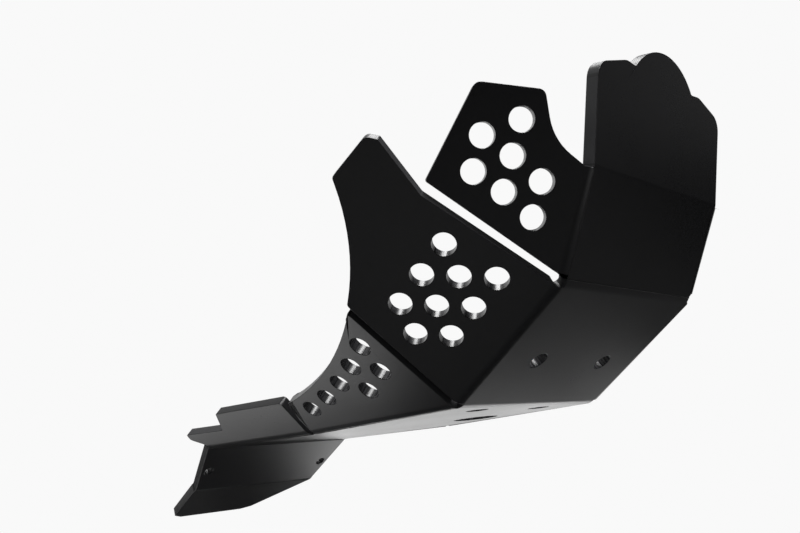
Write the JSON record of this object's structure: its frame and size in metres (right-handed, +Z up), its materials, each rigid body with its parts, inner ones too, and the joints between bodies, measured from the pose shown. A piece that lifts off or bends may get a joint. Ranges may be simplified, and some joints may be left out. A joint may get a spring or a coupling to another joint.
{
  "type": "motorcycle skid plate",
  "caption": "Motorcycle skid plate folded from black polyethylene sheet, with perforated side wings, a tall front shield and a linkage guard at the tail.",
  "frame": {"origin": "midway between the belly bolt holes, on the inner face of the sheet, which lies against the lower rails of the frame", "axes": "+X forward along the motorcycle, +Y to its left, +Z up"},
  "size_m": [0.5877, 0.3704, 0.2632],
  "materials": {
    "black_polyethylene": "satin black high-density polyethylene, as skived, with cut edges"
  },
  "bodies": {
    "root": {"skid_plate": "black_polyethylene"}
  },
  "joints": []
}
